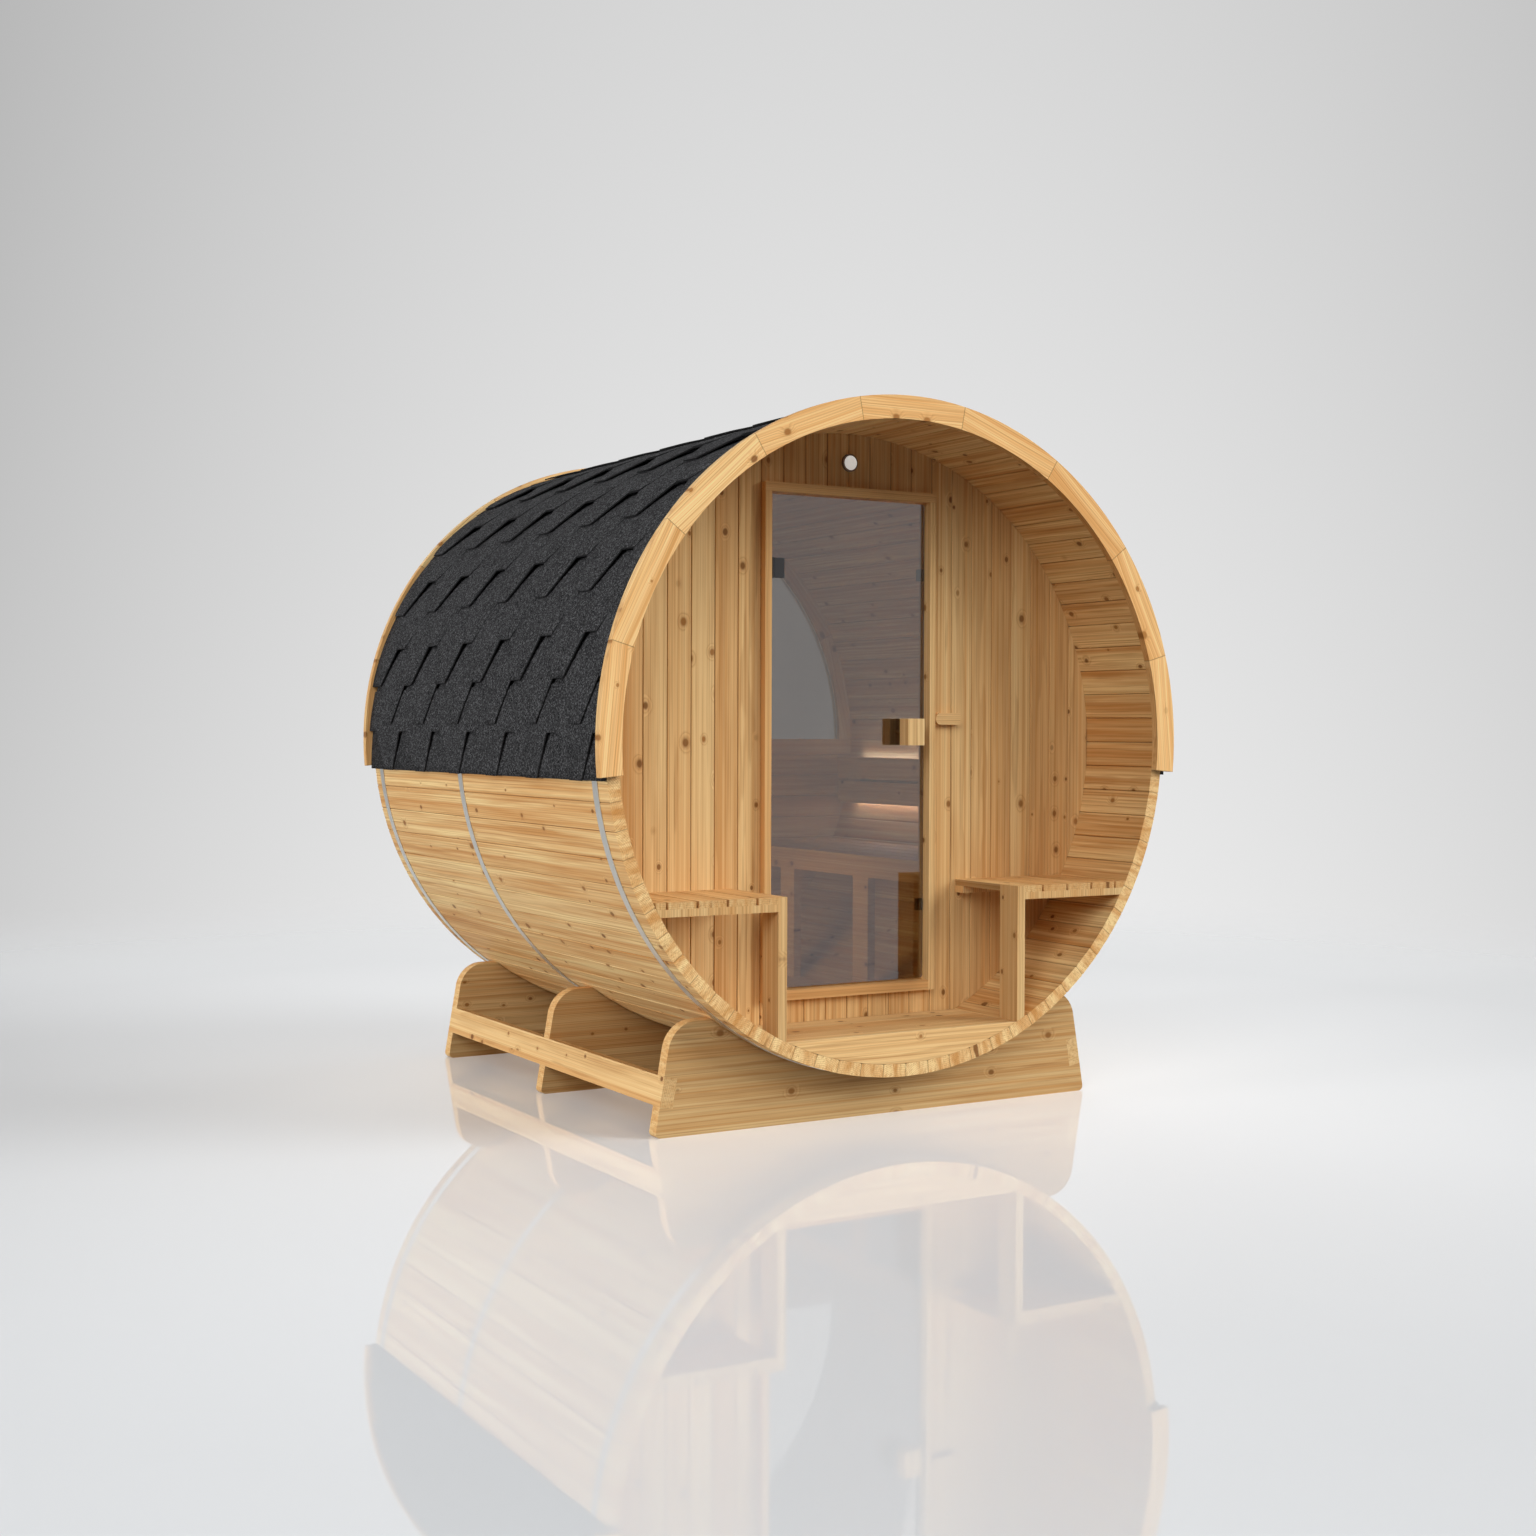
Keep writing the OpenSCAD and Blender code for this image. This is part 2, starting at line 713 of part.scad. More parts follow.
// Right porch seat: boards from front to back, the inner one notched round the post
module seat_boards() {
    inside_ring(front_y, wall_front) difference() {
        for (k = [0 : seat_board_count - 1]) {
            start = k == 0 ? seat_inner : seat_second_board + (k - 1) * seat_pitch;
            translate([start, front_y, seat_bottom])
                cube([k == 0 ? seat_edge_board_width : seat_board_width, porch_depth, seat_board_thickness]);
        }
        translate([seat_inner - over, front_y - over, seat_bottom - over])
            cube([post_thickness + over + seat_gap, post_depth + over + seat_gap,
                  seat_board_thickness + 2 * over]);
    }
}

// Post, front bearer and wall bearer of the right porch seat
module seat_frame() {
    inside_ring(front_y, wall_front) {
        translate([seat_inner, front_y, ground_clearance])
            cube([post_thickness, post_depth, seat_top - ground_clearance]);
        translate([seat_inner + post_thickness, front_y, seat_bottom - bearer_height])
            cube([barrel_radius, bearer_depth, bearer_height]);
        translate([seat_inner, wall_front - bearer_depth, seat_bottom - bearer_height])
            cube([barrel_radius, bearer_depth, bearer_height]);
    }
}

module right_seat_boards() {
    color(pine) seat_boards();
}

module left_seat_boards() {
    color(pine) mirror([1, 0, 0]) seat_boards();
}

module right_seat_frame() {
    color(pine) seat_frame();
}

module left_seat_frame() {
    color(pine) mirror([1, 0, 0]) seat_frame();
}

// Cabin bench along the right wall
module cabin_bench_seat() {
    color(pine_shade) inside_ring(wall_back, rear_wall_front) for (k = [0 : bench_board_count - 1])
        translate([bench_inner + k * bench_pitch, wall_back + bench_end_gap, bench_bottom])
            cube([bench_board_width, cabin_length - 2 * bench_end_gap, bench_board_thickness]);
}

// Front rail on two legs, with bearers back to the wall
module cabin_bench_frame() {
    rail_bottom = bench_bottom - bench_rail_height;
    color(pine_shade) inside_ring(wall_back, rear_wall_front) {
        translate([bench_inner, wall_back + bench_end_gap, rail_bottom])
            cube([bench_rail_thickness, cabin_length - 2 * bench_end_gap, bench_rail_height]);
        for (y = bench_leg_places) translate([bench_inner, y - bench_leg_width / 2, floor_top])
            cube([bench_rail_thickness, bench_leg_width, bench_bottom - floor_top]);
        for (y = bench_bearer_places) translate([bench_inner, y - bearer_depth / 2, rail_bottom])
            cube([barrel_radius, bearer_depth, bench_rail_height]);
    }
}

// Two backrest boards on brackets that stand off the staves
module cabin_backrest() {
    color(pine_shade) inside_ring(wall_back, rear_wall_front) {
        for (k = [0, 1]) translate([backrest_inner, cabin_middle - backrest_length / 2,
                                    backrest_bottom + k * backrest_pitch])
            cube([backrest_thickness, backrest_length, backrest_board_width]);
        for (y = backrest_bracket_places)
            translate([backrest_inner + backrest_thickness, y - backrest_bracket_width / 2,
                       backrest_bottom + backrest_bracket_margin])
                cube([barrel_radius, backrest_bracket_width,
                      backrest_top - backrest_bottom - 2 * backrest_bracket_margin]);
    }
}

// Level boards of the rear wall below its window
module rear_wall_boards() {
    color(pine) inside_ring(rear_wall_front, rear_wall_back) for (k = [0 : rear_board_count - 1])
        translate([-barrel_radius, rear_wall_front, axis_height - lining + (k + 0.5) * rear_board_pitch])
            rotate([90, 0, 90]) linear_extrude(height = 2 * barrel_radius)
                rotate(-90) mirror([1, 0]) board_profile(rear_board_pitch, wall_thickness, board_chamfer);
}

module rear_window_arch() {
    color(pine) along_y(rear_wall_front, rear_wall_back) at_axis() for (k = [0 : window_frame_boards - 1])
        ring_sector(window_radius, lining, k * window_sweep, window_sweep);
}

module rear_window_rail() {
    color(pine) inside_ring(rear_wall_front, rear_wall_back)
        translate([-barrel_radius, rear_wall_front, window_rail_bottom])
            cube([2 * barrel_radius, wall_thickness, window_rail_height]);
}

// Half-moon pane between the arch and the rail
module rear_window_glass() {
    middle = (rear_wall_front + rear_wall_back) / 2;
    color(smoked) along_y(middle - glass_thickness / 2, middle + glass_thickness / 2) at_axis()
    intersection() {
        circle(r = window_radius - seat_gap, $fn = 240);
        translate([-barrel_radius, 0]) square([2 * barrel_radius, barrel_radius]);
    }
}

floor_staves();
left_staves();
right_staves();
roof_staves();
front_band();
middle_band();
rear_band();
left_roof_shingles();
right_roof_shingles();
front_trim_arc();
rear_trim_arc();
front_cradle();
middle_cradle();
rear_cradle();
left_cradle_rail();
right_cradle_rail();
front_wall_left();
front_wall_right();
front_wall_header();
front_wall_sill();
door_left_jamb();
door_right_jamb();
door_head();
door_sill();
door_glass();
door_handles();
door_hinge_clamps();
door_hinge_plates();
door_catches();
door_rest_block();
wall_vent();
porch_floor();
porch_floor_fascia();
left_seat_boards();
left_seat_frame();
right_seat_boards();
right_seat_frame();
cabin_floor();
cabin_bench_seat();
cabin_bench_frame();
cabin_backrest();
rear_wall_boards();
rear_window_arch();
rear_window_rail();
rear_window_glass();
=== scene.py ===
"""Looks of a barrel sauna on its CAD frame, in metres: pine, felt shingles, steel and tinted glass."""
import math

import bmesh
import bpy
from mathutils import Matrix, Vector


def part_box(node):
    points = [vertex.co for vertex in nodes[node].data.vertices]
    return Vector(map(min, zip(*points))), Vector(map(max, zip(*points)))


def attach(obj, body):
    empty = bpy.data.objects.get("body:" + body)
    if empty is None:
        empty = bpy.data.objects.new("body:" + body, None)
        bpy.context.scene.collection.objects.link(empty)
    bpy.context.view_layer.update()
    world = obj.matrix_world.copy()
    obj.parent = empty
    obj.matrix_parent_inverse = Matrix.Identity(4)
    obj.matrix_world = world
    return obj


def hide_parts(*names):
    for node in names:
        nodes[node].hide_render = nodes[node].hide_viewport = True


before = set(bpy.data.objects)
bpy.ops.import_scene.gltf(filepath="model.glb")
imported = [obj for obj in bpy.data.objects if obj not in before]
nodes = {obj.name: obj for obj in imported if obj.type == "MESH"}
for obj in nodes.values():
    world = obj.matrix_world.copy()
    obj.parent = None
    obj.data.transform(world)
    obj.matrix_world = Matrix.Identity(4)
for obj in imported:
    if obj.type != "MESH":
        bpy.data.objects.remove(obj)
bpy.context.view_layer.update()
scene = bpy.context.scene
X, Y, Z = 0, 1, 2
LOW, HIGH = 0, 1

# Barrel, walls and roof, as the CAD frame has them
AXIS = 1.234
STAVE_OUT, STAVE_IN, STAVES = 1.090, 1.048, 76
FRONT, REAR = -1.024, 1.024
WALL_FRONT, WALL_BACK = -0.667, -0.625
REAR_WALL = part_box("rear_wall_boards")[LOW][Y]
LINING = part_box("rear_wall_boards")[HIGH][X]
FRAME_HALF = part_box("door_head")[HIGH][X]
WINDOW_RAIL_DROP = 0.066
ROOF_IN, ROOF_OUT = 1.0935, 1.1125
EAVES, CROWN = math.radians(-5.9), math.pi / 2

# Rows of boards: where each starts and how far apart its boards are
STAVE_TURN = 2 * math.pi / STAVES
TRIM_START, TRIM_TURN = math.radians(-95.3), math.radians(190.6 / 9)
ARCH_START, ARCH_TURN = math.radians(-90.0), math.radians(180 / 7)
SIDE_BOARD = (LINING - FRAME_HALF) / 8
HEADER_BOARD = FRAME_HALF / 4
REAR_START, REAR_BOARD = AXIS - LINING, (LINING - WINDOW_RAIL_DROP) / 11
PORCH_START = FRONT + 0.020
PORCH_BOARD = (WALL_FRONT - PORCH_START) / 3
CABIN_BOARD = (REAR_WALL - WALL_BACK) / 14
LEFT_SEAT_START, RIGHT_SEAT_START, SEAT_BOARD = -0.5605, 0.4545, 0.106
BENCH_START, BENCH_BOARD = 0.4105, 0.107
BACKREST_START, BACKREST_BOARD = 0.9605, 0.101

# Pine: repeats per metre along, across and into a board, and its tones
WAVER_RATE, KNOT_RATE = (2.4, 26.0, 26.0), (7.5, 10.0, 0.0)
STREAK_RATE, FIBRE_RATE, PATCH_RATE = (0.3, 85.0, 22.0), (1.3, 210.0, 90.0), (0.7, 24.0, 8.0)
RING_RATE = 165.0
PITH_NEAR, PITH_SPREAD, PITH_ASIDE = 0.02, 0.07, 0.10
TRUNK_LENGTH, TRUNK_WIDTH = 9.0, 3.0
TINT_STEP, TINT_START = 0.37, 0.5
NUMBERS_PER_METRE = 3.0
BODY, PALE, RED_BOARD, PALE_BOARD = "#d8a568", "#ebc88f", "#d0995e", "#eed098"
HEARTWOOD, SAPWOOD, LATE_WOOD, STAIN = "#c48746", "#f7dca0", "#ad7843", "#b07a45"
KNOT_PALE, KNOT_DARK, JOINT = "#9c6631", "#6b3f1c", "#63411f"
JOINT_EDGE, JOINT_CORE = 0.0020, 0.0008

# Felt shingles, from 1 m strips with three tabs
EXPOSURE, TAB_PITCH = 0.144, 1.0 / 3.0
COURSE_TURN = EXPOSURE / ROOF_OUT
EAVES_EXPOSURE, EAVES_SLOT, EAVES_DRIP = 0.173, 0.131, 0.001
FIRST_COURSE = EAVES + EAVES_EXPOSURE / ROOF_OUT
LEAST_COURSE_SHARE = 0.2
TAB_HALF, GAP_HALF = 0.132, 0.371
TAB_MIDDLE, TAB_CREEP, EAVES_MIDDLE = 0.1743, 0.0041, 0.1765
FELT_FLOOR, UNDERLAY_FLOOR = 1.0948, 1.0945
UNDERLAY_FOOT, UNDERLAY_FALL, UNDERLAY_STEPS = 1.107, 0.09, 60
END_GAP = 0.001

# Battens behind the backrest
BATTEN, BATTEN_INSET, BATTEN_ARRIS = 0.020, 0.012, 0.002
BACKREST_THICKNESS, STAVE_GAP = 0.025, 0.010

# The photograph's viewpoint
CAMERA_PLACE = (-3.6663, -6.3436, 1.2794)
YAW, PITCH, ROLL = 0.5331, -0.0200, 0.0033
LENS_MM, SENSOR_MM = 46.32, 36.0
VIEW_RIGHT = Vector((math.cos(YAW), -math.sin(YAW), 0.0))

# Sockets and settings of a mix of two colours
SHARE, UNDER, OVER = 0, 6, 7
COLOURS = {"out": 2, "data_type": "RGBA"}


def linear(code):
    """An sRGB hex value as linear RGBA."""
    shares = [int(code[i:i + 2], 16) / 255 for i in (1, 3, 5)]
    return tuple(c / 12.92 if c <= 0.04045 else ((c + 0.055) / 1.055) ** 2.4 for c in shares) + (1.0,)


def put(tree, kind, inputs=(), out=0, **settings):
    """Adds a node with its settings, and values and links for its sockets in order or by key.
    Gives one of its outputs."""
    node = tree.nodes.new("ShaderNode" + kind)
    for name, value in settings.items():
        setattr(node, name, value)
    for key, value in inputs.items() if isinstance(inputs, dict) else enumerate(inputs):
        if isinstance(value, bpy.types.NodeSocket):
            tree.links.new(value, node.inputs[key])
        else:
            node.inputs[key].default_value = value
    return node.outputs[out]


def new_material(name):
    """An empty node material and its tree."""
    material = bpy.data.materials.new(name)
    material.use_nodes = True
    material.node_tree.nodes.clear()
    return material, material.node_tree


def surface(tree, shader):
    """Links a shader to the material's output."""
    tree.links.new(shader, tree.nodes.new("ShaderNodeOutputMaterial").inputs[0])


def knots(tree, shifted, lane, sway):
    """Knots 6 to 16 mm wide, about one in 0.35 m of board: core, stained ring and darkness."""
    spot = put(tree, "CombineXYZ", (shifted, lane))
    spot = put(tree, "VectorMath", (spot, KNOT_RATE), operation="MULTIPLY")
    scatter = {"Vector": spot, "Scale": 1.0, "Randomness": 0.9}
    cells = put(tree, "TexVoronoi", scatter, voronoi_dimensions="2D").node.outputs
    choice, girth, darkness = put(tree, "SeparateXYZ", (cells["Color"],)).node.outputs
    chosen = put(tree, "MapRange", (choice, 0.60, 0.62))
    girth = put(tree, "MapRange", (girth, 0.0, 1.0, 0.040, 0.115))
    reach = put(tree, "Math", (sway, 0.10, cells["Distance"]), operation="MULTIPLY_ADD")
    reach = put(tree, "Math", (reach, girth), operation="DIVIDE")
    core = put(tree, "MapRange", (reach, 1.25, 0.6), interpolation_type="SMOOTHSTEP")
    core = put(tree, "Math", (core, chosen), operation="MULTIPLY")
    stain = put(tree, "MapRange", (reach, 2.8, 0.8), interpolation_type="SMOOTHSTEP")
    stain = put(tree, "Math", (stain, chosen), operation="MULTIPLY")
    return core, stain, darkness


def late_wood(tree, shares, across, depth, waver, stain):
    """Late wood of growth rings 6 mm apart, about a pith behind the face and bent round the knots."""
    side = put(tree, "Math", (shares[1], PITH_ASIDE, -PITH_ASIDE / 2), operation="MULTIPLY_ADD")
    side = put(tree, "Math", (side, across), operation="ADD")
    side = put(tree, "Math", (waver[0], 0.007, side), operation="MULTIPLY_ADD")
    back = put(tree, "Math", (depth, PITH_NEAR), operation="ADD")
    back = put(tree, "Math", (shares[2], PITH_SPREAD, back), operation="MULTIPLY_ADD")
    back = put(tree, "Math", (waver[1], 0.010, back), operation="MULTIPLY_ADD")
    pith = put(tree, "CombineXYZ", (side, back))
    pith = put(tree, "VectorMath", (pith,), out="Value", operation="LENGTH")
    years = put(tree, "Math", (pith, RING_RATE), operation="MULTIPLY")
    years = put(tree, "Math", (stain, 1.6, years), operation="MULTIPLY_ADD")
    season = put(tree, "Math", (years,), operation="FRACT")
    growth = put(tree, "MapRange", (season, 0.25, 0.85), interpolation_type="SMOOTHSTEP")
    winter = put(tree, "MapRange", (season, 1.0, 0.9))
    return put(tree, "Math", (growth, winter), operation="MULTIPLY")


def pine_grain():
    """Planed pine as a solid: growth rings about a pith beside each board, streaks, fibres and knots.
    Along, Across and Depth are metres within a board, Board is its number, Joint is 1 at its edges, and
    Heart is how much heartwood and sapwood differ."""
    tree = bpy.data.node_groups.new("planed_pine_grain", "ShaderNodeTree")
    for name in ("Along", "Across", "Depth", "Board", "Joint", "Heart"):
        tree.interface.new_socket(name, in_out="INPUT", socket_type="NodeSocketFloat")
    for name, kind in (("Color", "Color"), ("Height", "Float"), ("Roughness", "Float")):
        tree.interface.new_socket(name, in_out="OUTPUT", socket_type="NodeSocket" + kind)
    along, across, depth, board, joint, heart = tree.nodes.new("NodeGroupInput").outputs[:6]

    # Each board is cut from another part of a trunk: its own shift, pith and tint
    chance = put(tree, "TexWhiteNoise", {"W": board}, out="Color", noise_dimensions="1D")
    shares = put(tree, "SeparateXYZ", (chance,)).node.outputs
    tint = put(tree, "Math", (board, TINT_STEP, TINT_START), operation="MULTIPLY_ADD")
    tint = put(tree, "TexWhiteNoise", {"W": tint}, noise_dimensions="1D")
    shifted = put(tree, "Math", (shares[0], TRUNK_LENGTH, along), operation="MULTIPLY_ADD")
    lane = put(tree, "Math", (shares[1], TRUNK_WIDTH, across), operation="MULTIPLY_ADD")
    place = put(tree, "CombineXYZ", (shifted, across, depth))

    # The grain wavers over about 0.4 m of length and 40 mm of width
    waver = put(tree, "VectorMath", (place, WAVER_RATE), operation="MULTIPLY")
    waver = put(tree, "TexNoise", {"Vector": waver, "Scale": 1.0}, out="Color")
    waver = put(tree, "VectorMath", (waver, (0.5, 0.5, 0.5)), operation="SUBTRACT")
    waver = put(tree, "SeparateXYZ", (waver,)).node.outputs
    knot, stain, darkness = knots(tree, shifted, lane, waver[2])
    late = late_wood(tree, shares, across, depth, waver, stain)

    # Streaks 10 to 30 mm wide, dark lines about 3 mm wide, and patches of heartwood and sapwood 40 mm wide
    streak, fibre, patch = [put(tree, "VectorMath", (place, rate), operation="MULTIPLY")
                            for rate in (STREAK_RATE, FIBRE_RATE, PATCH_RATE)]
    streak = put(tree, "TexNoise", {"Vector": streak, "Scale": 1.0, "Detail": 4.0, "Roughness": 0.62})
    fibre = put(tree, "TexNoise", {"Vector": fibre, "Scale": 1.0, "Detail": 3.0, "Roughness": 0.6})
    patch = put(tree, "TexNoise", {"Vector": patch, "Scale": 1.0, "Detail": 3.0, "Roughness": 0.6})
    red = put(tree, "Math", (put(tree, "MapRange", (patch, 0.50, 0.36)), heart), operation="MULTIPLY")
    pale = put(tree, "Math", (put(tree, "MapRange", (patch, 0.52, 0.66)), heart), operation="MULTIPLY")
    dark = put(tree, "MapRange", (fibre, 0.50, 0.66, 0.0, 0.42))
    dark = put(tree, "Math", (late, 0.30, dark), operation="MULTIPLY_ADD")

    # Tones laid one over the other, each by its share
    core = put(tree, "Mix", {SHARE: darkness, UNDER: linear(KNOT_PALE), OVER: linear(KNOT_DARK)}, **COLOURS)
    body = linear(BODY)
    for share, tone in (
            (put(tree, "MapRange", (streak, 0.36, 0.62)), linear(PALE)),
            (put(tree, "MapRange", (tint, 0.0, 0.45, 0.45, 0.0)), linear(RED_BOARD)),
            (put(tree, "MapRange", (tint, 0.55, 1.0, 0.0, 0.50)), linear(PALE_BOARD)),
            (red, linear(HEARTWOOD)),
            (pale, linear(SAPWOOD)),
            (dark, linear(LATE_WOOD)),
            (put(tree, "Math", (stain, 0.22), operation="MULTIPLY"), linear(STAIN)),
            (put(tree, "Math", (knot, 0.85), operation="MULTIPLY"), core),
            (put(tree, "Math", (joint, 0.45), operation="MULTIPLY"), linear(JOINT))):
        body = put(tree, "Mix", {SHARE: share, UNDER: body, OVER: tone}, **COLOURS)
    height = put(tree, "Math", (fibre, 0.5), operation="MULTIPLY")
    height = put(tree, "Math", (late, 0.6, height), operation="MULTIPLY_ADD")
    rough = put(tree, "MapRange", (streak, 0.0, 1.0, 0.48, 0.62))

    result = tree.nodes.new("NodeGroupOutput")
    for name, socket in (("Color", body), ("Height", height), ("Roughness", rough)):
        tree.links.new(socket, result.inputs[name])
    return tree


def pine(name, layout, seed, pale, heart):
    """Planed pine, oiled thinly: warm and even, with a low satin sheen along the grain.
    layout gives along, across, depth, board and joint from the place in the frame. pale is painted light on
    the faces turned to the front, how much paler they are drawn than the rest; a value below 0 is painted
    shade that draws them darker. heart is how much heartwood and sapwood differ."""
    material, tree = new_material("pine_planed_" + name)
    place = put(tree, "SeparateXYZ", (put(tree, "TexCoord", out="Object"),)).node.outputs
    along, across, depth, board, joint = layout(tree, place)
    board = put(tree, "Math", (board, seed), operation="ADD")
    grain = put(tree, "Group", {
        "Along": along, "Across": across, "Depth": depth, "Board": board, "Joint": joint, "Heart": heart},
        node_tree=GRAIN).node.outputs
    facing = put(tree, "SeparateXYZ", (put(tree, "NewGeometry", out="Normal"),), out=Y)
    # Painted light and shade: faces turned to the front are drawn brighter by 1 + pale, and darker where
    # pale is below 0
    painted_front_shading = put(tree, "MapRange", (facing, -0.9, -1.0, 1.0, 1.0 + pale))
    surface(tree, put(tree, "BsdfPrincipled", {
        "Base Color": put(tree, "VectorMath", {0: grain["Color"], "Scale": painted_front_shading}, operation="SCALE"),
        "Roughness": grain["Roughness"], "Specular IOR Level": 0.2,
        "Normal": put(tree, "Bump", {"Strength": 0.25, "Distance": 0.0006, "Height": grain["Height"]})}))
    return material


def joint_line(tree, within, pitch):
    """1 at a board's edges, from the distance to its middle line."""
    reach = put(tree, "Math", (within,), operation="ABSOLUTE")
    return put(tree, "MapRange", (reach, pitch / 2 - JOINT_EDGE, pitch / 2 - JOINT_CORE))


def in_row(tree, count, pitch):
    """From a count of boards: the place across a board from its middle, its number, and its joints."""
    within = put(tree, "Math", (count,), operation="FRACT")
    within = put(tree, "Math", (within, 0.5), operation="SUBTRACT")
    within = put(tree, "Math", (within, pitch), operation="MULTIPLY")
    return within, put(tree, "Math", (count,), operation="FLOOR"), joint_line(tree, within, pitch)


def straight(along, across, start, pitch):
    """Boards along one axis that lie side by side along another, numbered from a start at a pitch."""
    depth = X + Y + Z - along - across

    def layout(tree, place):
        count = put(tree, "Math", (place[across], start), operation="SUBTRACT")
        count = put(tree, "Math", (count, pitch), operation="DIVIDE")
        within, board, joint = in_row(tree, count, pitch)
        return place[along], within, place[depth], board, joint
    return layout


def whole(along, across):
    """One board along an axis. Its number comes from where it lies, so that like pieces differ."""
    depth = X + Y + Z - along - across

    def layout(tree, place):
        board = put(tree, "Math", (place[depth], NUMBERS_PER_METRE), operation="MULTIPLY")
        board = put(tree, "Math", (board,), operation="ROUND")
        return place[along], place[across], place[depth], board, 0.0
    return layout


def ring(tree, place):
    """Staves about the barrel's axis, numbered round it."""
    rise = put(tree, "Math", (place[Z], AXIS), operation="SUBTRACT")
    angle = put(tree, "Math", (rise, place[X]), operation="ARCTAN2")
    angle = put(tree, "Math", (angle, math.pi / 2), operation="ADD")
    count = put(tree, "Math", (angle, STAVE_TURN), operation="DIVIDE")
    within, board, joint = in_row(tree, count, STAVE_TURN * STAVE_OUT)
    radius = put(tree, "CombineXYZ", (place[X], rise))
    radius = put(tree, "VectorMath", (radius,), out="Value", operation="LENGTH")
    depth = put(tree, "Math", (STAVE_OUT, radius), operation="SUBTRACT")
    return place[Y], within, depth, board, joint


def arc(start, turn):
    """Short straight-grained boards that make up an arc over the barrel's axis, numbered from the left.
    Their joints are taken as angles, which about 1 m from the axis are nearly metres."""
    def layout(tree, place):
        rise = put(tree, "Math", (place[Z], AXIS), operation="SUBTRACT")
        angle = put(tree, "Math", (place[X], rise), operation="ARCTAN2")
        board = put(tree, "Math", (angle, start), operation="SUBTRACT")
        board = put(tree, "Math", (board, turn), operation="DIVIDE")
        board = put(tree, "Math", (board,), operation="FLOOR")
        middle = put(tree, "Math", (board, turn, start + turn / 2), operation="MULTIPLY_ADD")
        spot = put(tree, "CombineXYZ", (place[X], rise))
        spot = put(tree, "VectorRotate", {"Vector": spot, "Angle": middle}, rotation_type="Z_AXIS")
        local = put(tree, "SeparateXYZ", (spot,)).node.outputs
        aside = put(tree, "Math", (angle, middle), operation="SUBTRACT")
        return local[X], local[Y], place[Y], board, joint_line(tree, aside, turn)
    return layout


# Layout, seed and nodes of each wood
WOODS = {
    "stave": (ring, 0.0, ["floor_staves", "left_staves", "right_staves", "roof_staves"]),
    "trim": (arc(TRIM_START, TRIM_TURN), 211.0, ["front_trim_arc", "rear_trim_arc"]),
    "window_arch": (arc(ARCH_START, ARCH_TURN), 317.0, ["rear_window_arch"]),
    "cradle": (whole(X, Z), 418.0, ["front_cradle", "middle_cradle", "rear_cradle"]),
    "rail": (whole(Y, Z), 431.0, ["left_cradle_rail", "right_cradle_rail"]),
    "right_wall": (straight(Z, X, FRAME_HALF, SIDE_BOARD), 503.0, ["front_wall_right"]),
    "left_wall": (straight(Z, X, -FRAME_HALF, SIDE_BOARD), 541.0, ["front_wall_left"]),
    "header": (straight(Z, X, -FRAME_HALF, HEADER_BOARD), 557.0, ["front_wall_header", "front_wall_sill"]),
    "jamb": (whole(Z, Y), 605.0, ["door_left_jamb", "door_right_jamb", "door_handles"]),
    "head": (whole(X, Y), 613.0, ["door_head", "door_sill", "rear_window_rail", "door_rest_block"]),
    "rear_wall": (straight(X, Z, REAR_START, REAR_BOARD), 701.0, ["rear_wall_boards"]),
    "porch_floor": (straight(X, Y, PORCH_START, PORCH_BOARD), 727.0, ["porch_floor"]),
    "fascia": (whole(X, Z), 733.0, ["porch_floor_fascia"]),
    "cabin_floor": (straight(X, Y, WALL_BACK, CABIN_BOARD), 751.0, ["cabin_floor"]),
    "right_seat": (straight(Y, X, RIGHT_SEAT_START, SEAT_BOARD), 769.0, ["right_seat_boards"]),
    "left_seat": (straight(Y, X, LEFT_SEAT_START, SEAT_BOARD), 787.0, ["left_seat_boards"]),
    "seat_frame": (whole(Z, Y), 797.0, ["left_seat_frame", "right_seat_frame"]),
    "bench": (straight(Y, X, BENCH_START, BENCH_BOARD), 809.0, ["cabin_bench_seat"]),
    "bench_frame": (whole(Y, Z), 821.0, ["cabin_bench_frame"]),
    "backrest": (straight(Y, Z, BACKREST_START, BACKREST_BOARD), 829.0, ["cabin_backrest"]),
}
# Painted light on the front faces of the trim, fascia and stave ends, and painted shade on the front faces
# of the cradles
PAINTED_FRONT_LIGHT_AND_SHADE = {"cradle": -0.10, "trim": 0.40, "fascia": 0.18, "stave": 0.18}
HEART = {"stave": 0.75, "trim": 0.35}


def rolled_steel():
    """Stainless strip, rolled bright: pale grey with faint lines along its length, 1.4 mm apart."""
    material, tree = new_material("stainless_strip_rolled")
    place = put(tree, "TexCoord", out="Object")
    lines = put(tree, "VectorMath", (place, (3.0, 700.0, 3.0)), operation="MULTIPLY")
    lines = put(tree, "TexNoise", {"Vector": lines, "Scale": 1.0})
    surface(tree, put(tree, "BsdfPrincipled", {
        "Base Color": linear("#dedcd6"), "Metallic": 1.0,
        "Roughness": put(tree, "MapRange", (lines, 0.0, 1.0, 0.28, 0.45))}))
    return material


def satin_hinge():
    """Die-cast zinc with a dark satin coat: soft broad highlights and a fine skin with 1.1 mm grain."""
    material, tree = new_material("zinc_die_cast_satin_coated")
    grit = put(tree, "TexNoise", {"Vector": put(tree, "TexCoord", out="Object"), "Scale": 900.0})
    surface(tree, put(tree, "BsdfPrincipled", {
        "Base Color": linear("#3b3b3c"), "Metallic": 0.6,
        "Roughness": put(tree, "MapRange", (grit, 0.0, 1.0, 0.35, 0.5)),
        "Normal": put(tree, "Bump", {"Strength": 0.2, "Distance": 0.0003, "Height": grit})}))
    return material


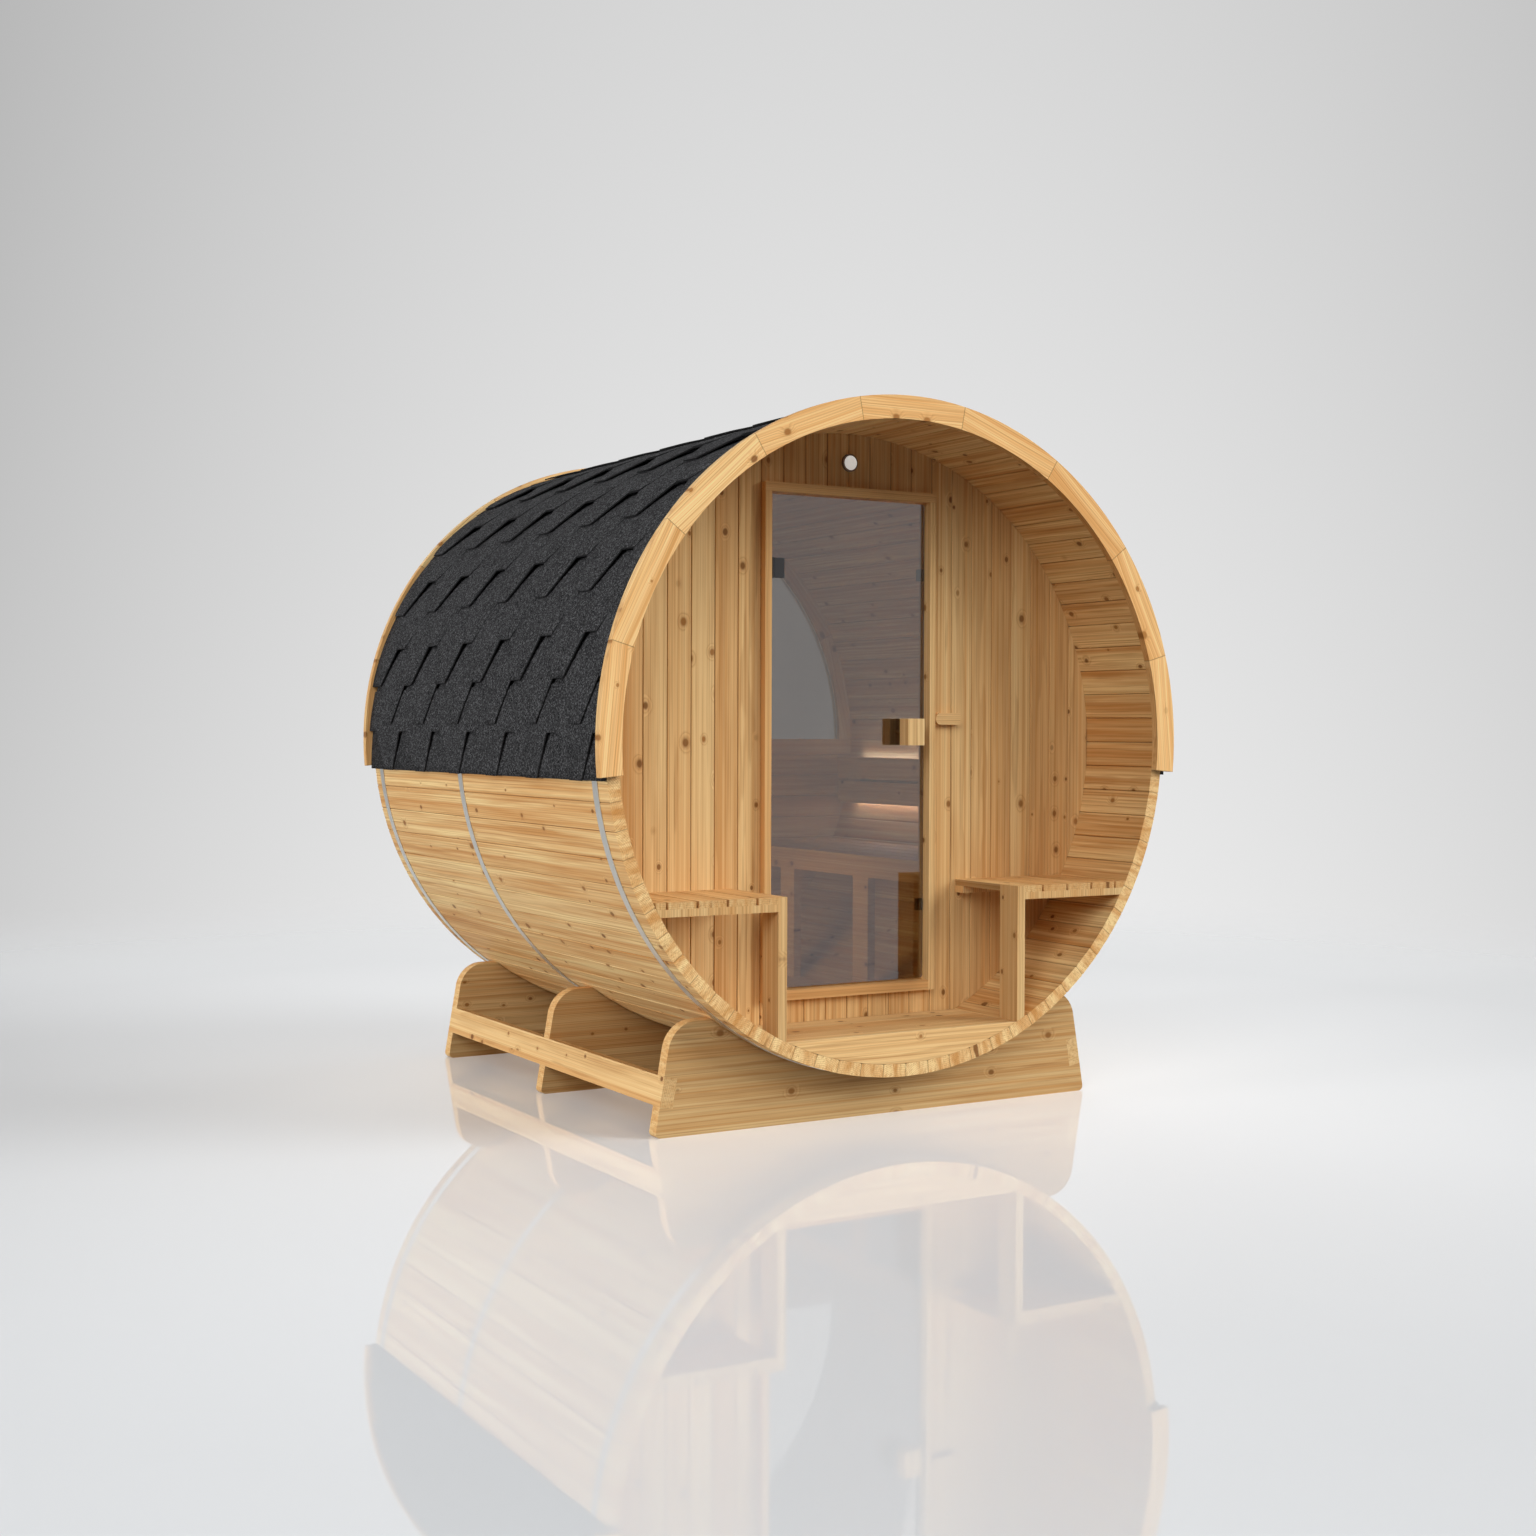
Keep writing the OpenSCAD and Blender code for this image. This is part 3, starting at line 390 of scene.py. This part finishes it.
def vent_plastic(name, code, painted_glow):
    """ABS, moulded: smooth with a slight orange-peel of 2.5 mm. painted_glow is painted light: an emission
    that lifts the white disc off the wall though it is no lamp.
    """
    material, tree = new_material(name)
    peel = put(tree, "TexNoise", {"Vector": put(tree, "TexCoord", out="Object"), "Scale": 400.0})
    surface(tree, put(tree, "BsdfPrincipled", {
        "Base Color": linear(code), "Emission Color": linear(code), "Emission Strength": painted_glow,
        "Roughness": put(tree, "MapRange", (peel, 0.0, 1.0, 0.3, 0.4)),
        "Normal": put(tree, "Bump", {"Strength": 0.1, "Distance": 0.0002, "Height": peel})}))
    return material


def tinted_glass(name, tint, deep, bend):
    """Float glass, tinted in its body and fire-polished: darkens what lies behind, with sharp reflections.
    The tint drifts a little over about 330 mm."""
    material, tree = new_material(name)
    drift = {"Vector": put(tree, "TexCoord", out="Object"), "Scale": 3.0, "Detail": 3.0}
    drift = put(tree, "MapRange", (put(tree, "TexNoise", drift), 0.3, 0.7))
    surface(tree, put(tree, "BsdfPrincipled", {
        "Base Color": put(tree, "Mix", {SHARE: drift, UNDER: linear(tint), OVER: linear(deep)}, **COLOURS),
        "Roughness": 0.0, "IOR": bend, "Transmission Weight": 1.0}))
    return material


def granule_felt():
    """Bitumen felt pressed with crushed slate: matt charcoal with a fine light and dark speckle.
    The grit is 2 mm and is drawn at 4 mm so that it shows, over clouds of about 70 mm."""
    material, tree = new_material("bitumen_felt_slate_granules")
    place = put(tree, "TexCoord", out="Object")
    grit = put(tree, "TexVoronoi", {"Vector": place, "Scale": 260.0}).node.outputs
    speck = put(tree, "SeparateXYZ", (grit["Color"],))
    cloud = put(tree, "TexNoise", {"Vector": place, "Scale": 14.0, "Detail": 4.0})
    base = linear("#313132")
    for share, tone in ((put(tree, "MapRange", (cloud, 0.3, 0.7)), "#3a3a3b"),
                        (put(tree, "MapRange", (speck, 0.0, 0.4, 0.9, 0.0)), "#0f0f10"),
                        (put(tree, "MapRange", (speck, 0.65, 1.0, 0.0, 0.9)), "#626264")):
        base = put(tree, "Mix", {SHARE: share, UNDER: base, OVER: linear(tone)}, **COLOURS)
    surface(tree, put(tree, "BsdfPrincipled", {
        "Base Color": base, "Roughness": 0.95, "Specular IOR Level": 0.04,
        "Normal": put(tree, "Bump", {"Strength": 0.5, "Distance": 0.001, "Height": grit["Distance"]})}))
    return material


def cut_bitumen():
    """The cut edge of bitumen felt: black, dull, slightly torn every 6 mm."""
    material, tree = new_material("bitumen_felt_cut_edge")
    tear = {"Vector": put(tree, "TexCoord", out="Object"), "Scale": 160.0, "Detail": 3.0}
    tones = {SHARE: put(tree, "TexNoise", tear), UNDER: linear("#0b0b0c"), OVER: linear("#19191a")}
    surface(tree, put(tree, "BsdfPrincipled", {
        "Base Color": put(tree, "Mix", tones, **COLOURS), "Roughness": 0.8}))
    return material


def light_silicone():
    """Light strip: a milky cover lit cool white from inside, which the boards turn to a pale warm glow."""
    material, tree = new_material("silicone_light_strip_lit")
    milk = put(tree, "TexNoise", {"Vector": put(tree, "TexCoord", out="Object"), "Scale": 60.0})
    surface(tree, put(tree, "BsdfPrincipled", {
        "Base Color": linear("#f2e2c8"), "Roughness": put(tree, "MapRange", (milk, 0.0, 1.0, 0.4, 0.6)),
        "Emission Color": linear("#c8daff"), "Emission Strength": 22.0}))
    return material


def dress(material, *names):
    """Gives the objects of CAD nodes one material."""
    for name in names:
        mesh = nodes[name].data
        mesh.materials.clear()
        mesh.materials.append(material)


GRAIN = pine_grain()
PINE = {}
for wood, (wood_layout, wood_seed, wood_nodes) in WOODS.items():
    PINE[wood] = pine(wood, wood_layout, wood_seed, PAINTED_FRONT_LIGHT_AND_SHADE.get(wood, 0.0), HEART.get(wood, 0.0))
    dress(PINE[wood], *wood_nodes)
dress(rolled_steel(), "front_band", "middle_band", "rear_band")
dress(satin_hinge(), "door_hinge_clamps", "door_hinge_plates", "door_catches")
# Painted shade: the flange ring is drawn dark brown so that it stands in for the shaded gap round the white
# disc
dress(vent_plastic("abs_moulded_brown_painted_shade", "#6b4c2e", 0.0), "wall_vent")
dress(tinted_glass("float_glass_bronze", "#a09a96", "#9c9692", 1.8), "door_glass")
dress(tinted_glass("float_glass_grey", "#a2a2a2", "#9e9e9e", 1.5), "rear_window_glass")
FELT = [granule_felt(), cut_bitumen()]


def new_piece(name, mesh_maker, materials, stands_for=()):
    """A mesh object made by a function of a bmesh, which rides on the sauna."""
    mesh = bpy.data.meshes.new(name)
    maker = bmesh.new()
    mesh_maker(maker)
    bmesh.ops.recalc_face_normals(maker, faces=maker.faces)
    maker.to_mesh(mesh)
    maker.free()
    obj = bpy.data.objects.new(name, mesh)
    scene.collection.objects.link(obj)
    for material in materials:
        mesh.materials.append(material)
    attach(obj, "sauna")
    if stands_for:
        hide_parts(*stands_for)


def on_roof(side, radius, angle, y):
    """A point on the roof: side is -1 for left, and the angle is over the level of the axis."""
    return (side * radius * math.cos(angle), y, AXIS + radius * math.sin(angle))


def felt_sheet(maker, side, stations, low, high, outer, inner, steps):
    """A curved sheet of felt between angles low(y) and high(y), with outer and inner radii by angle and y.
    Its top is granules, and its edges are cut felt."""
    rows = []
    for y in stations:
        a, b = low(y), high(y)
        rows.append([(a + (b - a) * i / steps, y) for i in range(steps + 1)])
    top = [[maker.verts.new(on_roof(side, outer(a, y), a, y)) for a, y in row] for row in rows]
    under = [[maker.verts.new(on_roof(side, inner(a, y), a, y)) for a, y in row] for row in rows]
    last = len(rows) - 1

    def cut_face(*corners):
        maker.faces.new(corners).material_index = 1

    for j in range(last):
        for i in range(steps):
            maker.faces.new((top[j][i], top[j + 1][i], top[j + 1][i + 1], top[j][i + 1])).smooth = True
            cut_face(under[j][i], under[j][i + 1], under[j + 1][i + 1], under[j + 1][i])
        for i in (0, steps):
            cut_face(top[j][i], under[j][i], under[j + 1][i], top[j + 1][i])
    for j in (0, last):
        for i in range(steps):
            cut_face(top[j][i], top[j][i + 1], under[j][i + 1], under[j][i])


def tab_wave(y, middle):
    """How far a course's lower edge has risen at y: 0 at the foot of a tab and 1 between two tabs."""
    count = (y - FRONT - middle) / TAB_PITCH
    return min(1.0, max(0.0, (abs(count - round(count)) - TAB_HALF) / (GAP_HALF - TAB_HALF)))


def tab_stations(middle):
    """Places along the roof where a course needs points: its ends and just beside each bend of its edge."""
    beside, clear = 0.004, 0.006
    marks = {FRONT + END_GAP, REAR - END_GAP}
    for n in range(-1, 9):
        for share in (-GAP_HALF, -TAB_HALF, TAB_HALF, GAP_HALF):
            for shift in (-beside, 0.0, beside):
                y = FRONT + middle + (n + share) * TAB_PITCH + shift
                if FRONT + clear < y < REAR - clear:
                    marks.add(round(y, 5))
    return sorted(marks)


def climb(low, start, tab_drop, lap_drop):
    """Outer radius by angle: from the tab's edge up to the next course, and on below that course."""
    def radius(angle, y):
        up = (angle - low) / COURSE_TURN
        return max(FELT_FLOOR, start - tab_drop * min(1.0, up) - lap_drop * max(0.0, up - 1.0))
    return radius


def shingle_course(maker, side, low, slot, middle, outer, thickness):
    """One course of six-sided tabs with slots between them, lapped by the two courses over it."""
    lap, least, steps = 2.1, 0.01, 14
    top = min(low + lap * COURSE_TURN, CROWN)

    def edge(y):
        return min(low + slot * tab_wave(y, middle), top - least)
    felt_sheet(maker, side, tab_stations(middle), edge, lambda y: top,
               outer, lambda angle, y: outer(angle, y) - thickness, steps)


def shingle_side(side):
    """Felt and its courses from the eaves to the ridge on one side of the roof."""
    def underlay(angle, y):
        return max(UNDERLAY_FLOOR, UNDERLAY_FOOT - UNDERLAY_FALL * (angle - EAVES))

    def make(maker):
        felt_sheet(maker, side, (FRONT + END_GAP, 0.0, REAR - END_GAP), lambda y: EAVES, lambda y: CROWN,
                   underlay, lambda angle, y: ROOF_IN, UNDERLAY_STEPS)
        # Lowest course, cut level with the eaves
        outer, thickness = climb(EAVES, ROOF_OUT, tab_drop=0.003, lap_drop=0.008), 0.004
        shingle_course(maker, side, EAVES - EAVES_DRIP, EAVES_SLOT, EAVES_MIDDLE, outer, thickness)
        # Two courses make one stiff strip: the lower stands off what is below it, the upper lies flat on it
        for k in range(math.ceil((CROWN - FIRST_COURSE) / COURSE_TURN - LEAST_COURSE_SHARE)):
            low = FIRST_COURSE + k * COURSE_TURN
            middle = TAB_MIDDLE - TAB_CREEP * k
            if k % 2:
                middle += TAB_PITCH / 2
                outer, thickness = climb(low, 1.1155, tab_drop=0.0035, lap_drop=0.0060), 0.0045
            else:
                outer, thickness = climb(low, 1.1150, tab_drop=0.0075, lap_drop=0.0135), 0.0025
            shingle_course(maker, side, low, COURSE_TURN, middle, outer, thickness)
    return make


def ridge_caps(maker):
    """Felt caps bent over the ridge, each lapped over the front edge of the one behind it."""
    reach, cap, foot, lift, thickness, steps = 0.118, 0.19, 1.1165, 0.004, 0.003, 10
    rear_gap, shortest = 0.003, 0.05
    y = REAR - rear_gap
    while y > FRONT + shortest:
        start = max(FRONT + END_GAP, y - cap)

        def outer(angle, place, start=start):
            return foot + lift * (place - start) / cap
        felt_sheet(maker, 1, (start, (start + y) / 2, y), lambda s: CROWN - reach, lambda s: CROWN + reach,
                   outer, lambda a, s: outer(a, s) - thickness, steps)
        y -= EXPOSURE


def vent_cover(maker):
    """Closed disc of the vent: a round rim with a shallow dished plate, turned about a level axis."""
    low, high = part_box("wall_vent")
    height, sides = (low[Z] + high[Z]) / 2, 48
    profile = ((0.0200, 0.0), (0.0240, 0.0), (0.0246, 0.0015), (0.0238, 0.0035), (0.0218, 0.0040),
               (0.0206, 0.0025), (0.0200, 0.0012), (0.0100, 0.0022), (0.0033, 0.0026))
    turns = [2 * math.pi * i / sides for i in range(sides)]
    rings = [[maker.verts.new((radius * math.cos(t), low[Y] - ahead, height + radius * math.sin(t)))
              for t in turns] for radius, ahead in profile]
    for a, b in zip(rings, rings[1:]):
        for i in range(sides):
            maker.faces.new((a[i], a[(i + 1) % sides], b[(i + 1) % sides], b[i])).smooth = True
    maker.faces.new(rings[0])
    maker.faces.new(rings[-1])


def lath(maker, low, high):
    """A lath between two corners, with softened arrises."""
    low, high = Vector(low), Vector(high)
    size = Matrix.Diagonal((high - low).to_4d())
    made = bmesh.ops.create_cube(maker, size=1.0, matrix=Matrix.Translation((low + high) / 2) @ size)
    edges = {e for v in made["verts"] for e in v.link_edges}
    bmesh.ops.bevel(maker, geom=list(edges), offset=BATTEN_ARRIS, segments=2, affect="EDGES", profile=0.6)


def batten_places():
    """The two battens on the back of the backrest: bottom, face on the backrest, end near the staves."""
    low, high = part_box("cabin_backrest")
    for bottom in (low[Z] + BATTEN_INSET, high[Z] - BATTEN_INSET - BATTEN):
        reach = math.sqrt(STAVE_IN ** 2 - (bottom + BATTEN / 2 - AXIS) ** 2)
        yield bottom, low[X] + BACKREST_THICKNESS, reach - STAVE_GAP


def light_strips(maker):
    """A strip below the low batten and one on the top batten, both close to the staves."""
    low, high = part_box("cabin_backrest")
    width, height, inset, from_end = 0.010, 0.008, 0.012, 0.02
    for (bottom, back, reach), rise in zip(batten_places(), (-height, BATTEN)):
        lath(maker, (reach - inset - width, low[Y] + from_end, bottom + rise),
             (reach - inset, high[Y] - from_end, bottom + rise + height))


def backrest_battens(maker):
    """Battens between the backrest and the staves that carry the strips and close the gap to their light."""
    low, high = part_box("cabin_backrest")
    from_end = 0.01
    for bottom, back, reach in batten_places():
        lath(maker, (back, low[Y] + from_end, bottom), (reach, high[Y] - from_end, bottom + BATTEN))


for word, sign in (("left", -1), ("right", 1)):
    new_piece(word + "_shingle_courses", shingle_side(sign), FELT, [word + "_roof_shingles"])
new_piece("ridge_caps", ridge_caps, FELT)
# The white vent cover carries painted light: a glow of 0.45 though it is no lamp
new_piece("vent_cover", vent_cover, [vent_plastic("abs_moulded_white_painted_glow", "#eeece6", 0.45)])
new_piece("backrest_light_strips", light_strips, [light_silicone()])
new_piece("backrest_battens", backrest_battens, [PINE["bench_frame"]])


def set_camera():
    """The camera at the photograph's viewpoint."""
    level = math.cos(PITCH)
    forward = Vector((math.sin(YAW) * level, math.cos(YAW) * level, math.sin(PITCH)))
    up = VIEW_RIGHT.cross(forward)
    right = VIEW_RIGHT * math.cos(ROLL) + up * math.sin(ROLL)
    up = up * math.cos(ROLL) - VIEW_RIGHT * math.sin(ROLL)
    data = bpy.data.cameras.new("photo_camera")
    data.sensor_width = SENSOR_MM
    data.lens = LENS_MM
    camera = bpy.data.objects.new("photo_camera", data)
    turn = Matrix((right, up, -forward)).transposed().to_4x4()
    camera.matrix_world = Matrix.Translation(CAMERA_PLACE) @ turn
    scene.collection.objects.link(camera)
    scene.camera = camera


def sun(name, turn, rise, soft, level):
    """A wide soft light from far off: degrees from straight in front towards the right, degrees up, and its
    width in degrees. At level 1 it shows a face turned to it about as its colour is written."""
    turn, rise = math.radians(turn), math.radians(rise)
    side = Vector((math.sin(turn) * math.cos(rise), -math.cos(turn) * math.cos(rise), math.sin(rise)))
    data = bpy.data.lights.new(name, "SUN")
    data.angle = math.radians(soft)
    data.energy = level * math.pi
    obj = bpy.data.objects.new(name, data)
    obj.visible_glossy = False
    obj.matrix_world = (-side).to_track_quat("-Z", "Y").to_matrix().to_4x4()
    scene.collection.objects.link(obj)


def cabin_lamp():
    """A weak warm lamp low in the cabin, turned to the bench, so that the boards show through the glass."""
    place, target = Vector((-0.45, 0.15, 0.70)), Vector((0.40, 0.10, 0.38))
    data = bpy.data.lights.new("cabin_light", "AREA")
    data.size = 0.5
    data.energy = 4.2
    data.color = linear("#ffe8b8")[:3]
    obj = bpy.data.objects.new("cabin_light", data)
    obj.visible_camera = False
    obj.visible_glossy = False
    obj.visible_transmission = False
    turn = (target - place).to_track_quat("-Z", "Y").to_matrix().to_4x4()
    obj.matrix_world = Matrix.Translation(place) @ turn
    scene.collection.objects.link(obj)


def seen_rays(tree):
    """1 for what the camera sees, straight, mirrored or through glass, and 0 for light between surfaces."""
    path = put(tree, "LightPath").node.outputs
    seen = put(tree, "Math", (path["Is Camera Ray"], path["Is Glossy Ray"]), operation="MAXIMUM")
    return put(tree, "Math", (seen, path["Is Transmission Ray"]), operation="MAXIMUM")


def pale_room():
    """Backdrop: palest low behind the object, greyer to the sides and top, and white in front of it."""
    grey, rise_fade, side_tilt, side_fade, darkest, palest = 0.81, -0.38, 0.125, -1.40, 0.45, 0.88
    world = bpy.data.worlds.new("pale_room")
    scene.world = world
    world.use_nodes = True
    tree = world.node_tree
    tree.nodes.clear()
    way = put(tree, "TexCoord", out="Generated")
    parts = put(tree, "SeparateXYZ", (way,)).node.outputs
    across = put(tree, "VectorMath", (way, VIEW_RIGHT), out="Value", operation="DOT_PRODUCT")
    square = put(tree, "Math", (across, across), operation="MULTIPLY")
    wall = put(tree, "Math", (parts[Z], rise_fade, grey), operation="MULTIPLY_ADD")
    wall = put(tree, "Math", (across, side_tilt, wall), operation="MULTIPLY_ADD")
    wall = put(tree, "Math", (square, side_fade, wall), operation="MULTIPLY_ADD")
    wall = put(tree, "Clamp", (wall, darkest, palest))
    front = put(tree, "MapRange", (parts[Y], -0.2, -0.7))
    wall = put(tree, "Mix", {SHARE: front, UNDER: wall, OVER: linear("#f2f2f2")}, **COLOURS)
    ambient = put(tree, "Background", {"Color": linear("#ffffff"), "Strength": 0.02})
    shown = put(tree, "Background", {"Color": wall, "Strength": 1.0})
    both = put(tree, "MixShader", (seen_rays(tree), ambient, shown))
    tree.links.new(both, tree.nodes.new("ShaderNodeOutputWorld").inputs[0])


def pale_floor():
    """Polished pale floor that mirrors the object faintly, is palest near it, where a painted glow lifts the
    object's shadow, and fades into the room.
    """
    half = 40
    material, tree = new_material("resin_floor_polished")
    place = put(tree, "TexCoord", out="Object")
    reach = put(tree, "VectorMath", (place,), out="Value", operation="LENGTH")
    haze = put(tree, "TexNoise", {"Vector": place, "Scale": 2.0})
    seen = seen_rays(tree)
    # Painted light: a glow seen only by the camera, 0.14 within 1.5 m of the object and 0.05 beyond 4 m,
    # which lifts the object's shadow
    painted_glow = put(tree, "MapRange", (reach, 1.5, 4.0, 0.14, 0.05))
    tones = {SHARE: seen, UNDER: linear("#7c7c7c"), OVER: linear("#eff2f5")}
    floor = put(tree, "BsdfPrincipled", {
        "Base Color": put(tree, "Mix", tones, **COLOURS),
        "Roughness": put(tree, "MapRange", (haze, 0.0, 1.0, 0.0, 0.004)), "IOR": 2.0,
        "Emission Color": linear("#ffffff"),
        "Emission Strength": put(tree, "Math", (seen, painted_glow), operation="MULTIPLY")})
    fade = put(tree, "MapRange", (reach, 4.0, 8.5), interpolation_type="SMOOTHSTEP")
    surface(tree, put(tree, "MixShader", (fade, floor, put(tree, "BsdfTransparent"))))
    mesh = bpy.data.meshes.new("studio_floor")
    corners = [(-half, -half, 0), (half, -half, 0), (half, half, 0), (-half, half, 0)]
    mesh.from_pydata(corners, [], [(0, 1, 2, 3)])
    mesh.materials.append(material)
    obj = bpy.data.objects.new("studio_floor", mesh)
    scene.collection.objects.link(obj)


def studio():
    """Room, floor, soft lights all round that are strongest low on both sides, and the cabin's own lamp."""
    pale_room()
    pale_floor()
    sun("right_light", 92.0, 18.0, 36.0, 0.34)
    sun("right_front_light", 54.0, 24.0, 36.0, 0.76)
    sun("front_light", 0.0, 42.0, 40.0, 0.10)
    sun("left_front_light", -46.0, 29.0, 36.0, 0.40)
    sun("left_light", -95.0, 5.0, 10.0, 0.68)
    sun("back_light", 165.0, 25.0, 45.0, 0.25)
    cabin_lamp()


set_camera()
studio()
scene.view_settings.view_transform = "Standard"
